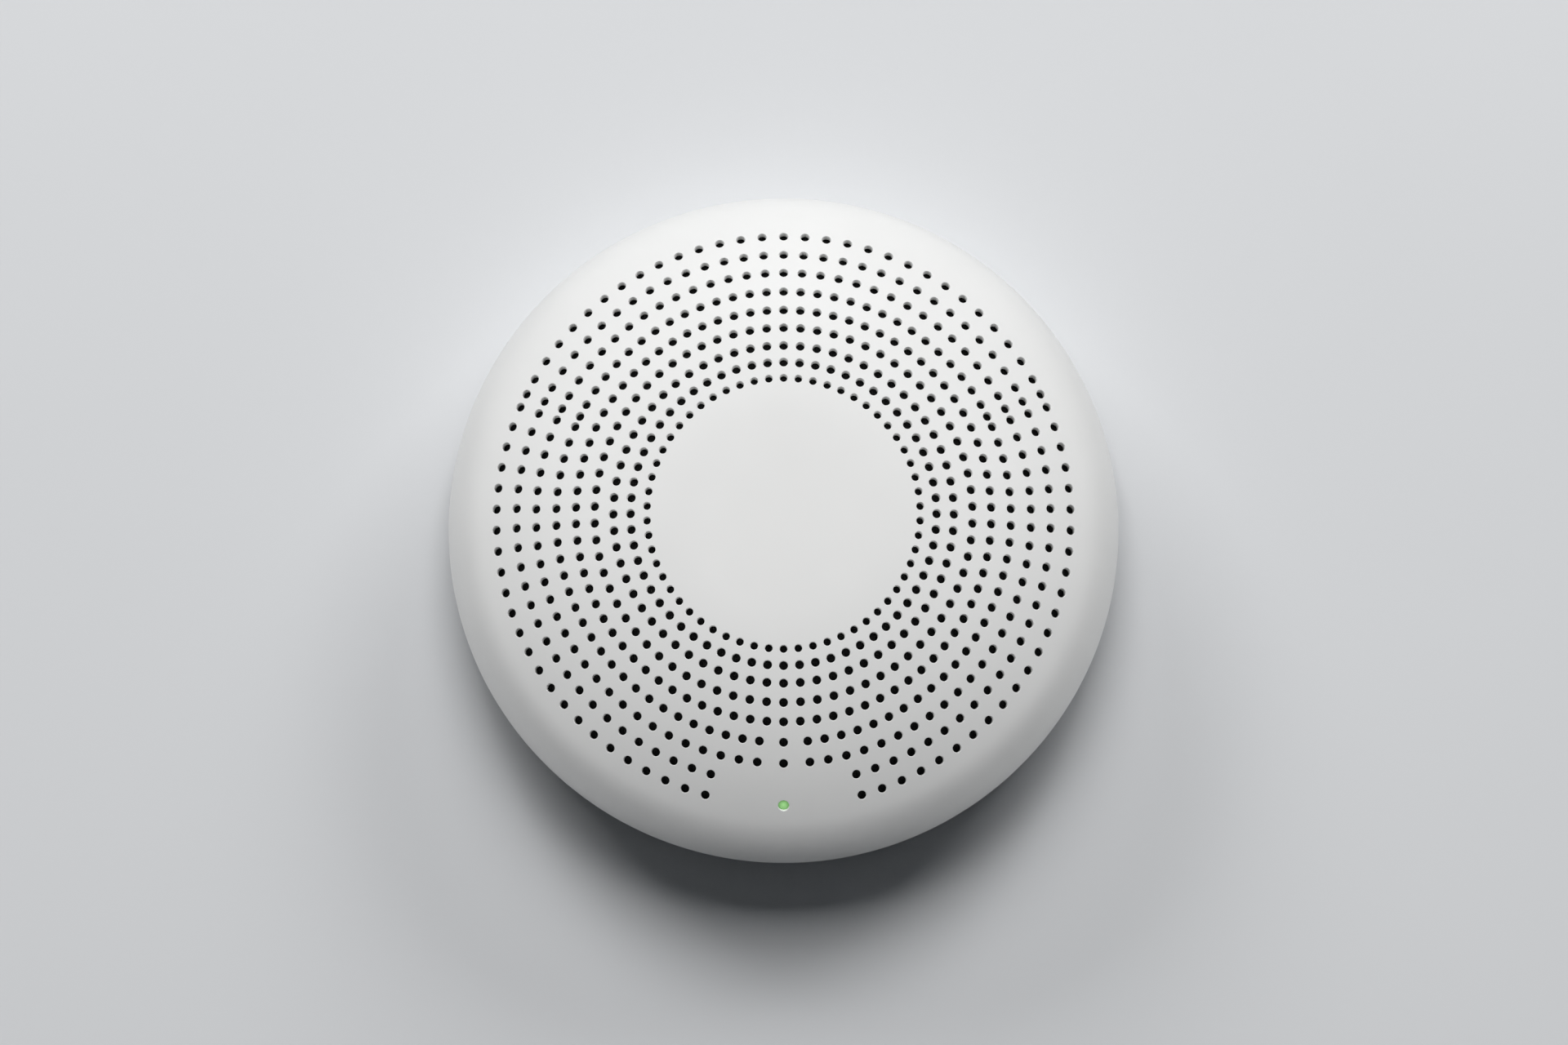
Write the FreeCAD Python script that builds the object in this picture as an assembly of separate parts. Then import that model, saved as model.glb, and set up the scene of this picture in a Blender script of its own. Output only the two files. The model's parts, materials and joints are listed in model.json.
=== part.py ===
import FreeCAD, Part
import math
import os
from FreeCAD import Vector

# A smoke and carbon monoxide alarm for a wall or ceiling, in millimetres.
# The origin is the centre of the mounting plate's wall face. +Z leaves the wall,
# and +Y points to the top of the alarm as it hangs, opposite its small light.

# General fits
SEAT_GAP = 0.3
SLIDE_FIT = 0.1
CUT_MARGIN = 1.0

# Cover
ALARM_RADIUS = 70.0
ALARM_DEPTH = 38.0
COVER_WALL = 2.0
CROWN_RADIUS = 400.0
CROWN_EDGE = 20.0
DOME_RADIUS = 87.0
SHOULDER = 63.0
SKIRT_BOTTOM = 5.6
SKIRT_TUCK = 0.6
SNAP_COUNT = 4
SNAP_FIRST = 45.0
SNAP_ARC = 14.0
SNAP_REACH = 0.7
SNAP_HEIGHT = 1.2
PRESS_POST_TOP = 4.0
PRESS_POST_TIP = 2.5

# Air holes: rings 1 to 5 are evenly pitched, and rings 6 to 9 are drawn as two fans a side
EVEN_RINGS = ((28.4, 58), (31.8, 60), (35.4, 64), (39.3, 70), (43.2, 78))
FAN_RINGS = ((47.3, 25, 173.9), (51.5, 25, 173.9), (55.6, 23, 164.2), (59.8, 23, 164.2))
INNER_HOLE_DIAMETER = 1.6
HOLE_DIAMETER = 1.85
UPPER_FAN_STEPS = 14
UPPER_FAN_END = 60.2
SEAM_HOLE = 63.6
LOWER_FAN_START = 66.5
HALF_TURN = 180.0

# Light guide, in the gap at the bottom of the last ring
LENS_DIAMETER = 2.1
LENS_RECESS = 0.3
LENS_CROWN = 0.35
GUIDE_STEM_DIAMETER = 3.0
GUIDE_FLANGE_DIAMETER = 5.0
GUIDE_FLANGE = 1.0
GUIDE_LENGTH = 10.5

# Insect screen behind the holes and its frame
SCREEN_INNER = 25.5
SCREEN_OUTER = 62.6
SCREEN_THICKNESS = 0.4
FRAME_RIM = 1.4
FRAME_THICKNESS = 1.2
FRAME_SPOKES = 6
FRAME_SPOKE_WIDTH = 1.6

# Mounting plate
PLATE_RADIUS = 66.0
PLATE_THICKNESS = 2.5
PLATE_RIM = 2.0
PLATE_RIM_HEIGHT = 5.0
PLATE_WINDOW_RADIUS = 20.0
SCREW_SPACING = 60.0
SCREW_SLOT_WIDTH = 4.5
SCREW_SLOT_LENGTH = 12.0

# Bayonet: three lugs on the housing turn under three hooks on the plate
BAYONET_COUNT = 3
BAYONET_FIRST = 90.0
LUG_ARC = 15.0
LUG_REACH = 4.5
LUG_THICKNESS = 2.0
HOOK_ARC = 16.0
HOOK_WALL = 2.0
HOOK_LIP = 2.0
STOP_ARC = 3.0

# Rear housing
WELL_RADIUS = 48.0
WELL_FLOOR = 6.0
FLOOR_THICKNESS = 2.0
HOUSING_WALL = 1.6
POCKET_RADIUS = 62.0
POCKET_FLOOR = 9.0
HOUSING_TOP = 14.0
BATTERY_RIB_SPACING = 22.0
BATTERY_RIB_THICKNESS = 2.0
BATTERY_RIB_HEIGHT = 5.0

# Circuit board and its screws
BOARD_RADIUS = 57.0
BOARD_BOTTOM = 13.0
BOARD_THICKNESS = 1.6
BOARD_SCREW_COUNT = 3
BOARD_SCREW_CIRCLE = 52.0
BOARD_POST_RADIUS = 3.0
BOARD_SCREW_RADIUS = 1.1
BOARD_SCREW_LENGTH = 4.4
SCREW_HEAD_RADIUS = 2.3
SCREW_HEAD_HEIGHT = 1.6
CROSS_SLOT_WIDTH = 0.6
CROSS_SLOT_DEPTH = 0.8
CROSS_SLOT_EDGE = 0.6

# Battery across the lower half, sunk through the board
BATTERY_RADIUS = 8.5
BATTERY_LENGTH = 34.5
BATTERY_Y = -33.0
BATTERY_NUB_RADIUS = 3.0
BATTERY_NUB = 0.8
BATTERY_ROOM = 0.5
CONTACT_THICKNESS = 0.5
CONTACT_WIDTH = 7.0
CONTACT_FOOT = 3.0
CONTACT_RISE = 4.0
STRAP_THICKNESS = 1.2
STRAP_WIDTH = 8.0
STRAP_FOOT = 3.0

# Smoke chamber
CHAMBER_X = -26.0
CHAMBER_Y = 10.0
CHAMBER_RADIUS = 21.0
CHAMBER_FLOOR = 1.5
CHAMBER_ROOM = 8.4
CHAMBER_LID = 1.4
VANE_COUNT = 16
VANE_CIRCLE = 17.0
VANE_LENGTH = 5.0
VANE_THICKNESS = 0.9
VANE_TURN = 42.0
LAMP_RADIUS = 1.5
LAMP_LENGTH = 5.0
LAMP_HEIGHT = 4.2
LAMP_SETBACK = 11.5
EMITTER_BEARING = 200.0
RECEIVER_BEARING = 335.0
HOLDER_WIDTH = 5.0
HOLDER_LENGTH = 4.0
HOLDER_HEIGHT = 7.0
CHAMBER_MESH_THICKNESS = 0.3

# Carbon monoxide cell
CELL_X = 31.0
CELL_Y = -12.0
CELL_RADIUS = 9.0
CELL_HEIGHT = 13.0
CELL_SHOULDER = 1.2
CELL_INLET_RADIUS = 2.0
CLIP_WALL = 0.8
CLIP_HEIGHT = 4.0
CLIP_FOOT = 3.0

# Sounder
SOUNDER_X = 25.0
SOUNDER_Y = 22.0
SOUNDER_RADIUS = 17.0
SOUNDER_HEIGHT = 9.0
SOUNDER_WALL = 1.4
SOUNDER_MOUTH_RADIUS = 6.0
SOUNDER_LIP_HEIGHT = 1.6
DISC_RADIUS = 13.5
DISC_THICKNESS = 0.4
DISC_LIFT = 2.0
DISC_LEDGE = 1.5

# Test switch under the middle of the cover
SWITCH_SIDE = 6.0
SWITCH_HEIGHT = 3.4
BUTTON_RADIUS = 1.7
BUTTON_SINK = 0.6
BUTTON_TRAVEL = 0.3
BUTTON_RISE = 1.0

# Small parts on the board
STATUS_LED_SIZE = (2.0, 1.6, 0.9)
PROCESSOR_SIDE = 9.0
PROCESSOR_HEIGHT = 1.0
PROCESSOR_X = -10.0
PROCESSOR_Y = -14.0
PROCESSOR_PINS = 8
PIN_WIDTH = 0.35
PIN_REACH = 0.9
PIN_THICKNESS = 0.25
RADIO_SIZE = (12.0, 16.0, 2.4)
RADIO_X = -3.0
RADIO_Y = 38.0
RADIO_EDGE = 0.6
CAPACITOR_X = -40.0
CAPACITOR_Y = -14.0
CAPACITOR_RADIUS = 4.0
CAPACITOR_HEIGHT = 9.0
CAPACITOR_GROOVE = 0.3
PLUG_SIZE = (8.0, 6.0, 5.0)
PLUG_X = -29.0
PLUG_Y = -33.0
PLUG_WALL = 0.8

# Heights that follow from the sizes above
HOUSING_BOTTOM = PLATE_THICKNESS + SEAT_GAP
HOUSING_RADIUS = ALARM_RADIUS - SKIRT_TUCK - COVER_WALL - SEAT_GAP
BOARD_TOP = BOARD_BOTTOM + BOARD_THICKNESS
BATTERY_Z = WELL_FLOOR + FLOOR_THICKNESS + BATTERY_ROOM + BATTERY_RADIUS
LUG_TOP = HOUSING_BOTTOM + LUG_THICKNESS
LIP_BOTTOM = LUG_TOP + SEAT_GAP
SWITCH_TOP = BOARD_TOP + SWITCH_HEIGHT
BUTTON_TOP = SWITCH_TOP + BUTTON_RISE
CHAMBER_INSIDE = BOARD_TOP + CHAMBER_FLOOR

# The cover's outer section is three arcs that meet without a kink: crown, dome and rim
CROWN_ANGLE = math.asin(CROWN_EDGE / CROWN_RADIUS)
DOME_CENTRE_R = CROWN_EDGE - DOME_RADIUS * math.sin(CROWN_ANGLE)
CROWN_CENTRE_Z = ALARM_DEPTH - CROWN_RADIUS
DOME_CENTRE_Z = CROWN_CENTRE_Z + (CROWN_RADIUS - DOME_RADIUS) * math.cos(CROWN_ANGLE)
SHOULDER_ANGLE = math.asin((SHOULDER - DOME_CENTRE_R) / DOME_RADIUS)
RIM_RADIUS = (ALARM_RADIUS - SHOULDER) / (1 - math.sin(SHOULDER_ANGLE))
RIM_CENTRE_R = ALARM_RADIUS - RIM_RADIUS
RIM_CENTRE_Z = DOME_CENTRE_Z + (DOME_RADIUS - RIM_RADIUS) * math.cos(SHOULDER_ANGLE)
RIGHT_ANGLE = math.pi / 2

AXIS = Vector(0, 0, 1)
ORIGIN = Vector(0, 0, 0)


def save(name, shape):
    shape.exportStep("parts/" + name + ".step")


def slope_at(radius):
    """The angle between the dome's normal and the alarm's axis, at a distance from the axis."""
    return math.asin((radius - DOME_CENTRE_R) / DOME_RADIUS)


def dome_point(angle, depth):
    """A point of the dome's section, depth below the outer face."""
    reach = DOME_RADIUS - depth
    return Vector(DOME_CENTRE_R + reach * math.sin(angle), 0, DOME_CENTRE_Z + reach * math.cos(angle))


def crown_point(angle, depth):
    reach = CROWN_RADIUS - depth
    return Vector(reach * math.sin(angle), 0, CROWN_CENTRE_Z + reach * math.cos(angle))


def rim_point(angle, depth):
    reach = RIM_RADIUS - depth
    return Vector(RIM_CENTRE_R + reach * math.sin(angle), 0, RIM_CENTRE_Z + reach * math.cos(angle))


def arc(place, start, end, depth):
    points = [place(angle, depth) for angle in (start, (start + end) / 2, end)]
    return Part.Arc(*points).toShape()


def turned(edges, degrees=360.0, start=0.0):
    """A closed section in the XZ plane, turned about the alarm's axis."""
    solid = Part.Face(Part.Wire(edges)).revolve(ORIGIN, AXIS, degrees)
    solid.rotate(ORIGIN, AXIS, start)
    return solid


def turned_outline(points, degrees=360.0, start=0.0):
    corners = [Vector(r, 0, z) for r, z in points]
    return turned(Part.makePolygon(corners + corners[:1]).Edges, degrees, start)


def sector(inner, outer, bottom, top, middle, width):
    outline = ((inner, bottom), (outer, bottom), (outer, top), (inner, top))
    return turned_outline(outline, width, middle - width / 2)


def tube(inner, outer, bottom, height, x=0.0, y=0.0):
    place = Vector(x, y, bottom)
    return Part.makeCylinder(outer, height, place).cut(Part.makeCylinder(inner, height, place))


def rod(radius, height, x, y, bottom):
    return Part.makeCylinder(radius, height, Vector(x, y, bottom))


def block(size, x, y, bottom):
    """A box centred on x and y."""
    return Part.makeBox(size[0], size[1], size[2], Vector(x - size[0] / 2, y - size[1] / 2, bottom))


def around(shape, count, first=0.0):
    """Copies of a shape that lies on the +X side, spaced evenly about the axis."""
    copies = []
    for number in range(count):
        copy = shape.copy()
        copy.rotate(ORIGIN, AXIS, first + number * 360.0 / count)
        copies.append(copy)
    return copies


def cover_shell():
    """The cover's wall and the post under its middle, turned from one section."""
    wide = rim_point(RIGHT_ANGLE, 0)
    wide_inside = rim_point(RIGHT_ANGLE, COVER_WALL)
    skirt = Vector(wide.x - SKIRT_TUCK, 0, SKIRT_BOTTOM)
    skirt_inside = Vector(wide_inside.x - SKIRT_TUCK, 0, SKIRT_BOTTOM)
    post_angle = math.asin(PRESS_POST_TOP / (CROWN_RADIUS - COVER_WALL))
    post_foot = BUTTON_TOP + SEAT_GAP
    post_side = [
        crown_point(post_angle, COVER_WALL),
        Vector(PRESS_POST_TIP, 0, post_foot),
        Vector(0, 0, post_foot),
        crown_point(0, 0),
    ]
    edges = [
        arc(crown_point, 0, CROWN_ANGLE, 0),
        arc(dome_point, CROWN_ANGLE, SHOULDER_ANGLE, 0),
        arc(rim_point, SHOULDER_ANGLE, RIGHT_ANGLE, 0),
    ]
    edges += Part.makePolygon([wide, skirt, skirt_inside, wide_inside]).Edges
    edges += [
        arc(rim_point, RIGHT_ANGLE, SHOULDER_ANGLE, COVER_WALL),
        arc(dome_point, SHOULDER_ANGLE, CROWN_ANGLE, COVER_WALL),
        arc(crown_point, CROWN_ANGLE, post_angle, COVER_WALL),
    ]
    return turned(edges + Part.makePolygon(post_side).Edges)


def even_angles(count):
    """Bearings from the top of the alarm, evenly pitched."""
    return [number * 360.0 / count for number in range(count)]


def fan_angles(lower_steps, lower_end):
    """Bearings from the top: an upper fan, one hole in the seam and a lower fan, on both sides."""
    upper = [number * UPPER_FAN_END / UPPER_FAN_STEPS for number in range(1, UPPER_FAN_STEPS + 1)]
    lower_step = (lower_end - LOWER_FAN_START) / lower_steps
    lower = [LOWER_FAN_START + number * lower_step for number in range(lower_steps + 1)]
    side = upper + [SEAM_HOLE] + lower
    closes = HALF_TURN - lower_end < 2 * lower_step
    middle = [0.0, HALF_TURN] if closes else [0.0]
    return middle + side + [-angle for angle in side]


def hole_cutter(radius, diameter):
    """One air hole on the +Y side, normal to the dome, with flat sides and the round hole's area."""
    side = diameter * math.sqrt(math.pi) / 2
    angle = slope_at(radius)
    along = Vector(math.cos(angle), 0, -math.sin(angle)) * (side / 2)
    outside = dome_point(angle, -CUT_MARGIN)
    inside = dome_point(angle, COVER_WALL + CUT_MARGIN)
    corners = [outside - along, outside + along, inside + along, inside - along]
    width = math.degrees(side / radius)
    return turned(Part.makePolygon(corners + corners[:1]).Edges, width, 90.0 - width / 2)


def ring_of_holes(radius, diameter, bearings):
    cutter = hole_cutter(radius, diameter)
    holes = []
    for bearing in bearings:
        hole = cutter.copy()
        hole.rotate(ORIGIN, AXIS, -bearing)
        holes.append(hole)
    return holes


def air_holes():
    first_ring = EVEN_RINGS[0]
    holes = ring_of_holes(first_ring[0], INNER_HOLE_DIAMETER, even_angles(first_ring[1]))
    for radius, count in EVEN_RINGS[1:]:
        holes += ring_of_holes(radius, HOLE_DIAMETER, even_angles(count))
    for radius, lower_steps, lower_end in FAN_RINGS:
        holes += ring_of_holes(radius, HOLE_DIAMETER, fan_angles(lower_steps, lower_end))
    return holes


def at_light(shape):
    """Sets a shape drawn upright at the origin on the dome's face, where the light is."""
    radius = FAN_RINGS[-1][0]
    angle = slope_at(radius)
    face = dome_point(angle, 0)
    shape.rotate(ORIGIN, Vector(1, 0, 0), math.degrees(angle))
    shape.translate(Vector(0, -face.x, face.z))
    return shape


def front_cover():
    snap_top = POCKET_FLOOR - SEAT_GAP
    snap = sector(HOUSING_RADIUS - SNAP_REACH, ALARM_RADIUS - COVER_WALL / 2 - SKIRT_TUCK,
                  snap_top - SNAP_HEIGHT, snap_top, 0.0, SNAP_ARC)
    shell = cover_shell().fuse(around(snap, SNAP_COUNT, SNAP_FIRST))
    hole_depth = COVER_WALL + 2 * CUT_MARGIN
    light_hole = rod(LENS_DIAMETER / 2 + SLIDE_FIT, hole_depth, 0, 0, CUT_MARGIN - hole_depth)
    return shell.cut(air_holes() + [at_light(light_hole)])


def light_guide():
    """A clear rod with a domed tip in the cover's hole and a flange behind the wall."""
    tip = LENS_DIAMETER / 2
    stem = GUIDE_STEM_DIAMETER / 2
    flange = GUIDE_FLANGE_DIAMETER / 2
    flange_top = -COVER_WALL - SEAT_GAP
    flange_bottom = flange_top - GUIDE_FLANGE
    crown = Vector(0, 0, -LENS_RECESS)
    edge = Vector(tip, 0, -LENS_RECESS - LENS_CROWN)
    ball = (tip ** 2 + LENS_CROWN ** 2) / (2 * LENS_CROWN)
    half_way = math.asin(tip / ball) / 2
    bulge = Vector(ball * math.sin(half_way), 0, crown.z - ball * (1 - math.cos(half_way)))
    below = [
        edge,
        Vector(tip, 0, flange_top),
        Vector(flange, 0, flange_top),
        Vector(flange, 0, flange_bottom),
        Vector(stem, 0, flange_bottom),
        Vector(stem, 0, -GUIDE_LENGTH),
        Vector(0, 0, -GUIDE_LENGTH),
        crown,
    ]
    return at_light(turned([Part.Arc(crown, bulge, edge).toShape()] + Part.makePolygon(below).Edges))


def dome_band(start_radius, end_radius, depth, thickness, degrees=360.0, start=0.0):
    """A strip that follows the inside of the dome between two radii."""
    first = slope_at(start_radius)
    last = slope_at(end_radius)
    edges = [
        arc(dome_point, first, last, depth),
        Part.LineSegment(dome_point(last, depth), dome_point(last, depth + thickness)).toShape(),
        arc(dome_point, last, first, depth + thickness),
        Part.LineSegment(dome_point(first, depth + thickness), dome_point(first, depth)).toShape(),
    ]
    return turned(edges, degrees, start)


def guide_clearance():
    depth = COVER_WALL + 4 * CUT_MARGIN
    return at_light(rod(GUIDE_FLANGE_DIAMETER / 2 + SEAT_GAP, depth, 0, 0, -depth))


def cover_screen():
    sheet = dome_band(SCREEN_INNER, SCREEN_OUTER, COVER_WALL + SEAT_GAP, SCREEN_THICKNESS)
    return sheet.cut(guide_clearance())


def screen_frame():
    """Two rings and six spokes that hold the screen's edges."""
    depth = COVER_WALL + SCREEN_THICKNESS + 2 * SEAT_GAP
    outer = dome_band(SCREEN_OUTER - FRAME_RIM, SCREEN_OUTER, depth, FRAME_THICKNESS)
    inner = dome_band(SCREEN_INNER, SCREEN_INNER + FRAME_RIM, depth, FRAME_THICKNESS)
    middle = (SCREEN_INNER + SCREEN_OUTER) / 2
    width = math.degrees(FRAME_SPOKE_WIDTH / middle)
    spoke = dome_band(SCREEN_INNER + FRAME_RIM / 2, SCREEN_OUTER - FRAME_RIM / 2, depth,
                      FRAME_THICKNESS, width, -width / 2)
    return outer.fuse([inner] + around(spoke, FRAME_SPOKES)).cut(guide_clearance())


def plate_hook():
    """A wall with a lip over the lug, and a stop at the end that the lug turns towards."""
    wall = WELL_RADIUS + LUG_REACH + SEAT_GAP
    outside = wall + HOOK_WALL
    inside = WELL_RADIUS + LUG_REACH / 2
    root = PLATE_THICKNESS / 2
    post = sector(wall, outside, root, LIP_BOTTOM + HOOK_LIP, 0.0, HOOK_ARC)
    lip = sector(inside, wall + HOOK_WALL / 2, LIP_BOTTOM, LIP_BOTTOM + HOOK_LIP, 0.0, HOOK_ARC)
    stop_middle = -(HOOK_ARC + STOP_ARC) / 2
    stop = sector(inside, outside, root, LIP_BOTTOM + HOOK_LIP, stop_middle, STOP_ARC)
    return post.fuse([lip, stop])


def screw_slot(x):
    straight = SCREW_SLOT_LENGTH - SCREW_SLOT_WIDTH
    depth = PLATE_THICKNESS + 2 * CUT_MARGIN
    radius = SCREW_SLOT_WIDTH / 2
    body = block((straight, SCREW_SLOT_WIDTH, depth), x, 0, -CUT_MARGIN)
    ends = [rod(radius, depth, x + side * straight / 2, 0, -CUT_MARGIN) for side in (-1, 1)]
    return body.fuse(ends)


def mounting_plate():
    floor = Part.makeCylinder(PLATE_RADIUS, PLATE_THICKNESS)
    rim = tube(PLATE_RADIUS - PLATE_RIM, PLATE_RADIUS, 0, PLATE_RIM_HEIGHT)
    plate = floor.fuse([rim] + around(plate_hook(), BAYONET_COUNT, BAYONET_FIRST))
    window = Part.makeCylinder(PLATE_WINDOW_RADIUS, PLATE_THICKNESS)
    slots = [screw_slot(side * SCREW_SPACING / 2) for side in (-1, 1)]
    return plate.cut([window] + slots).removeSplitter()


def board_screw_places():
    places = []
    for number in range(BOARD_SCREW_COUNT):
        bearing = math.radians(90.0 + number * 360.0 / BOARD_SCREW_COUNT)
        places.append((BOARD_SCREW_CIRCLE * math.cos(bearing), BOARD_SCREW_CIRCLE * math.sin(bearing)))
    return places


def battery_envelope(room):
    radius = BATTERY_RADIUS + room
    length = BATTERY_LENGTH + 2 * room
    return Part.makeCylinder(radius, length, Vector(-length / 2, BATTERY_Y, BATTERY_Z), Vector(1, 0, 0))


def rear_housing():
    well_top = WELL_FLOOR + FLOOR_THICKNESS
    pocket_top = POCKET_FLOOR + FLOOR_THICKNESS
    well_inside = WELL_RADIUS - HOUSING_WALL
    ring_outside = POCKET_RADIUS + HOUSING_WALL
    rim_inside = HOUSING_RADIUS - HOUSING_WALL
    outline = (
        (0, WELL_FLOOR),
        (well_inside, WELL_FLOOR),
        (well_inside, HOUSING_BOTTOM),
        (WELL_RADIUS, HOUSING_BOTTOM),
        (WELL_RADIUS, POCKET_FLOOR),
        (POCKET_RADIUS, POCKET_FLOOR),
        (POCKET_RADIUS, HOUSING_BOTTOM),
        (ring_outside, HOUSING_BOTTOM),
        (ring_outside, POCKET_FLOOR),
        (HOUSING_RADIUS, POCKET_FLOOR),
        (HOUSING_RADIUS, HOUSING_TOP),
        (rim_inside, HOUSING_TOP),
        (rim_inside, pocket_top),
        (well_inside, pocket_top),
        (well_inside, well_top),
        (0, well_top),
    )
    lug_root = WELL_RADIUS - HOUSING_WALL / 2
    lug = sector(lug_root, WELL_RADIUS + LUG_REACH, HOUSING_BOTTOM, LUG_TOP, 0.0, LUG_ARC)
    places = board_screw_places()
    posts = [rod(BOARD_POST_RADIUS, BOARD_BOTTOM - POCKET_FLOOR, x, y, POCKET_FLOOR) for x, y in places]
    rib_size = (BATTERY_RIB_THICKNESS, 2 * BATTERY_RADIUS, BATTERY_RIB_HEIGHT + FLOOR_THICKNESS / 2)
    rib_foot = well_top - FLOOR_THICKNESS / 2
    ribs = [block(rib_size, side * BATTERY_RIB_SPACING / 2, BATTERY_Y, rib_foot) for side in (-1, 1)]
    body = turned_outline(outline).fuse(around(lug, BAYONET_COUNT, BAYONET_FIRST) + posts + ribs)
    pilot_depth = BOARD_SCREW_LENGTH - BOARD_THICKNESS + SLIDE_FIT
    pilots = [rod(BOARD_SCREW_RADIUS, pilot_depth, x, y, BOARD_BOTTOM - pilot_depth) for x, y in places]
    return body.cut(pilots + [battery_envelope(SLIDE_FIT)])


def circuit_board():
    contact_room = CONTACT_THICKNESS + BATTERY_NUB + SEAT_GAP
    window_size = (BATTERY_LENGTH + 2 * contact_room, 2 * (BATTERY_RADIUS + SEAT_GAP), BOARD_THICKNESS)
    window = block(window_size, 0, BATTERY_Y, BOARD_BOTTOM)
    clearance = BOARD_SCREW_RADIUS + SEAT_GAP
    holes = [rod(clearance, BOARD_THICKNESS, x, y, BOARD_BOTTOM) for x, y in board_screw_places()]
    return rod(BOARD_RADIUS, BOARD_THICKNESS, 0, 0, BOARD_BOTTOM).cut([window] + holes)


def board_screw(x, y):
    shank = rod(BOARD_SCREW_RADIUS - SLIDE_FIT, BOARD_SCREW_LENGTH, x, y, BOARD_TOP - BOARD_SCREW_LENGTH)
    head = rod(SCREW_HEAD_RADIUS, SCREW_HEAD_HEIGHT, x, y, BOARD_TOP)
    slot_bottom = BOARD_TOP + SCREW_HEAD_HEIGHT - CROSS_SLOT_DEPTH
    length = 2 * (SCREW_HEAD_RADIUS - CROSS_SLOT_EDGE)
    cross = [
        block((length, CROSS_SLOT_WIDTH, CROSS_SLOT_DEPTH), x, y, slot_bottom),
        block((CROSS_SLOT_WIDTH, length, CROSS_SLOT_DEPTH), x, y, slot_bottom),
    ]
    return shank.fuse(head).cut(cross)


def board_screws():
    return Part.makeCompound([board_screw(x, y) for x, y in board_screw_places()])


def battery():
    can = battery_envelope(0)
    nub_place = Vector(BATTERY_LENGTH / 2, BATTERY_Y, BATTERY_Z)
    return can.fuse(Part.makeCylinder(BATTERY_NUB_RADIUS, BATTERY_NUB, nub_place, Vector(1, 0, 0)))


def battery_contacts():
    """A tab against each end of the battery, bent out to a foot on the board."""
    tabs = []
    for side, end in ((-1, BATTERY_LENGTH / 2), (1, BATTERY_LENGTH / 2 + BATTERY_NUB)):
        rise = BATTERY_Z - BOARD_TOP + CONTACT_RISE
        upright_x = side * (end + CONTACT_THICKNESS / 2)
        foot_x = side * (end + CONTACT_FOOT / 2)
        upright = block((CONTACT_THICKNESS, CONTACT_WIDTH, rise), upright_x, BATTERY_Y, BOARD_TOP)
        foot = block((CONTACT_FOOT, CONTACT_WIDTH, CONTACT_THICKNESS), foot_x, BATTERY_Y, BOARD_TOP)
        tabs.append(upright.fuse(foot))
    return Part.makeCompound(tabs)


def battery_strap():
    """A spring strap over the battery with two feet on the board."""
    inside = BATTERY_RADIUS + SLIDE_FIT
    outside = inside + STRAP_THICKNESS
    place = Vector(-STRAP_WIDTH / 2, BATTERY_Y, BATTERY_Z)
    along = Vector(1, 0, 0)
    hoop = Part.makeCylinder(outside, STRAP_WIDTH, place, along)
    leg_height = BATTERY_Z - BOARD_TOP
    legs = block((STRAP_WIDTH, 2 * outside, leg_height), 0, BATTERY_Y, BOARD_TOP)
    feet = block((STRAP_WIDTH, 2 * (outside + STRAP_FOOT), STRAP_THICKNESS), 0, BATTERY_Y, BOARD_TOP)
    hollow = Part.makeCylinder(inside, STRAP_WIDTH, place, along)
    gap = block((STRAP_WIDTH, 2 * inside, BATTERY_Z - BOARD_BOTTOM), 0, BATTERY_Y, BOARD_BOTTOM)
    low_side = block((STRAP_WIDTH, 4 * outside, BOARD_TOP), 0, BATTERY_Y, 0)
    return hoop.fuse([legs, feet]).cut([hollow, gap, low_side])


def toward_chamber(shape, bearing):
    """Turns a shape drawn on the +X side about the smoke chamber's own axis."""
    shape.rotate(ORIGIN, AXIS, bearing)
    shape.translate(Vector(CHAMBER_X, CHAMBER_Y, 0))
    return shape


def lamp_hole(bearing, room):
    start = LAMP_SETBACK - CUT_MARGIN
    place = Vector(start, 0, CHAMBER_INSIDE + LAMP_HEIGHT)
    hole = Part.makeCylinder(LAMP_RADIUS + room, LAMP_LENGTH + 2 * CUT_MARGIN, place, Vector(1, 0, 0))
    return toward_chamber(hole, bearing)


def lamp_holder(bearing):
    size = (HOLDER_LENGTH, HOLDER_WIDTH, HOLDER_HEIGHT + CHAMBER_FLOOR / 2)
    holder = block(size, LAMP_SETBACK + LAMP_LENGTH / 2, 0, CHAMBER_INSIDE - CHAMBER_FLOOR / 2)
    return toward_chamber(holder, bearing)


def lamp(bearing):
    """A small round lamp body on its side, with its domed end towards the chamber's middle."""
    height = CHAMBER_INSIDE + LAMP_HEIGHT
    nose = Part.makeSphere(LAMP_RADIUS, Vector(LAMP_SETBACK, 0, height))
    barrel = Part.makeCylinder(LAMP_RADIUS, LAMP_LENGTH, Vector(LAMP_SETBACK, 0, height), Vector(1, 0, 0))
    return toward_chamber(barrel.fuse(nose).removeSplitter(), bearing)


def near_lamp(bearing):
    room = 360.0 / VANE_COUNT
    for lamp_bearing in (EMITTER_BEARING, RECEIVER_BEARING):
        apart = abs((bearing - lamp_bearing + HALF_TURN) % 360.0 - HALF_TURN)
        if apart < room:
            return True
    return False


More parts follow.
